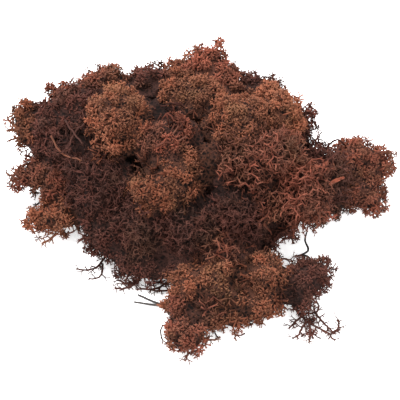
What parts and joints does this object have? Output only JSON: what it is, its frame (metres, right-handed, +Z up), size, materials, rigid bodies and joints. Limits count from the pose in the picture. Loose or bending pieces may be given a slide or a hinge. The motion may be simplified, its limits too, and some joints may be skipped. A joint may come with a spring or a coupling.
{
  "type": "reindeer moss clump",
  "caption": "Handful of dyed, preserved reindeer moss: fine forked branches in rounded tufts, pressed into a low mound that lies on a surface.",
  "frame": {"origin": "on the table surface under the middle of the mound", "axes": "+Z up from the table, +X along the mound's longest side, +Y towards the back of the mound"},
  "size_m": [0.2002, 0.18, 0.0695],
  "materials": {
    "moss_tan": "dry matte lichen tips, dyed orange tan",
    "moss_rust": "dry matte lichen, dyed rust brown",
    "moss_umber": "dry matte lichen, dyed dark reddish brown",
    "needle": "dried pine needle, faintly glossy",
    "twig": "dark dry twig"
  },
  "bodies": {
    "root": {"left_knob": "moss_tan", "left_spire": "moss_rust", "back_left_knob": "moss_rust", "back_mid": "moss_umber", "crown": "moss_rust", "back_red": "moss_rust", "back_dark": "moss_umber", "back_right": "moss_tan", "right_ear": "moss_umber", "left_shoulder": "moss_umber", "left_back": "moss_umber", "bright_head": "moss_tan", "centre_pocket": "moss_umber", "centre_back": "moss_tan", "centre_dome": "moss_tan", "right_dome": "moss_tan", "mid_strands": "moss_rust", "mid_dome": "moss_tan", "open_net": "moss_rust", "left_hollow": "moss_umber", "left_tip": "moss_rust", "left_low": "moss_rust", "left_front_knob": "moss_tan", "front_left_mass": "moss_umber", "front_left_low": "moss_umber", "front_mass": "moss_umber", "front_head": "moss_tan", "front_mid_mass": "moss_umber", "front_skirt": "moss_umber", "mid_right_mass": "moss_umber", "open_net_low": "moss_rust", "right_low_knob": "moss_umber", "right_root": "moss_umber", "right_lobe_upper": "moss_rust", "right_lobe_end": "moss_rust", "right_lobe_low": "moss_rust", "right_lobe_under": "moss_umber", "front_bridge": "moss_rust", "front_dome": "moss_tan", "front_dome_low": "moss_tan", "front_mid": "moss_tan", "front_left": "moss_tan", "front_foot": "moss_rust", "front_wisp": "moss_umber", "back_low_far_left": "moss_umber", "back_low_left": "moss_rust", "back_low_mid": "moss_umber", "back_low_crown": "moss_rust", "back_low_right": "moss_umber", "back_low_far_right": "moss_rust", "bed_left": "moss_umber", "bed_middle": "moss_umber", "bed_right": "moss_umber", "bed_front": "moss_umber", "pine_needles": "needle", "bent_twig": "twig", "dark_twig": "twig"}
  },
  "joints": []
}
